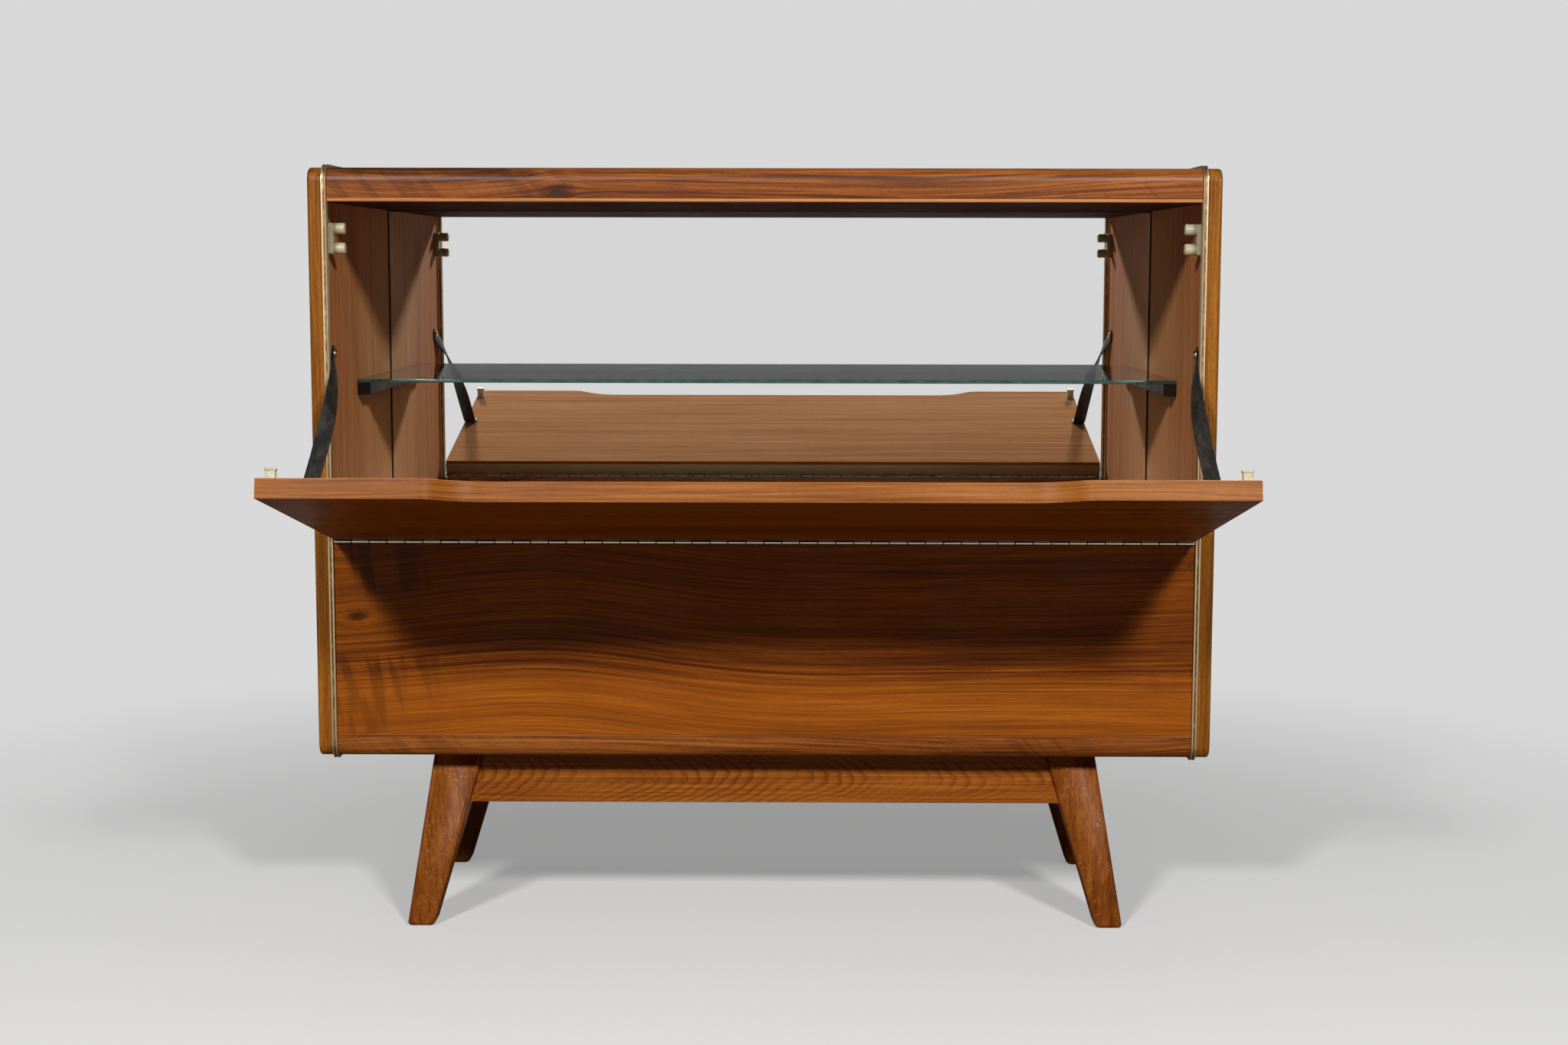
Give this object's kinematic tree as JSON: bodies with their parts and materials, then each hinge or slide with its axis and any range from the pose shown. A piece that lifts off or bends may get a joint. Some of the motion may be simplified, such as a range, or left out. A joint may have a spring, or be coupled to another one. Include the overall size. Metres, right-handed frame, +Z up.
{
  "type": "bar cabinet",
  "caption": "Walnut bar cabinet on splayed legs with a drop flap held by straps, a mirrored back, a glass shelf and brass trim.",
  "frame": {"origin": "on the floor, under the middle of the whole outline with the flap open", "axes": "+X to the right seen from the front, +Y to the back, +Z up; the flap hangs forward, towards -Y"},
  "size_m": [0.97, 0.7524, 0.8476],
  "materials": {
    "walnut_side": "satin lacquered walnut veneer, honey brown",
    "walnut_case": "satin lacquered walnut veneer, reddish brown",
    "walnut_front": "satin lacquered walnut veneer, amber brown",
    "walnut_inside": "matt walnut veneer with a pale solid edge",
    "walnut_flap": "satin lacquered walnut veneer",
    "back_board": "plain brown board",
    "mirror": "silvered glass",
    "brass_trim": "satin brass bead, slightly dulled",
    "shelf_glass": "polished clear glass with green edges",
    "cleat_wood": "dark stained wood",
    "catch_plastic": "ivory plastic",
    "hinge_metal": "dull nickelled steel",
    "strap": "thin black band",
    "screw_brass": "polished brass",
    "leg_wood": "satin lacquered beech, stained brown",
    "apron_wood": "satin lacquered beech, stained brown"
  },
  "bodies": {
    "cabinet": {"side_panel_left": "walnut_side", "side_panel_right": "walnut_side", "top_panel": "walnut_case", "bottom_panel": "walnut_case", "fixed_front_panel": "walnut_front", "ceiling_lining": "walnut_inside", "floor_lining": "walnut_inside", "back_panel": "back_board", "back_mirror": "mirror", "trim_left": "brass_trim", "trim_right": "brass_trim", "glass_shelf": "shelf_glass", "shelf_cleat_left": "cleat_wood", "shelf_cleat_right": "cleat_wood", "catch_left": "catch_plastic", "catch_right": "catch_plastic", "hinge_leaf_fixed": "hinge_metal", "hinge_pin": "hinge_metal", "stay_strap_left": "strap", "stay_strap_right": "strap", "stay_screw_left": "screw_brass", "stay_screw_right": "screw_brass", "leg_front_left": "leg_wood", "leg_front_right": "leg_wood", "leg_rear_left": "leg_wood", "leg_rear_right": "leg_wood", "apron_front": "apron_wood", "apron_rear": "apron_wood", "side_rail_left": "apron_wood", "side_rail_right": "apron_wood"},
    "flap": {"flap": "walnut_flap", "hinge_leaf_flap": "hinge_metal", "striker_left": "catch_plastic", "striker_right": "catch_plastic", "anchor_screw_left": "screw_brass", "anchor_screw_right": "screw_brass"}
  },
  "joints": [
    {"name": "flap_hinge", "type": "hinge", "parent": "cabinet", "child": "flap", "pos_m": [0, -0.02529, 0.4451], "axis": [-1, 0, 0], "range_deg": [0, 77], "deforming": ["stay_strap_left", "stay_strap_right"]}
  ]
}
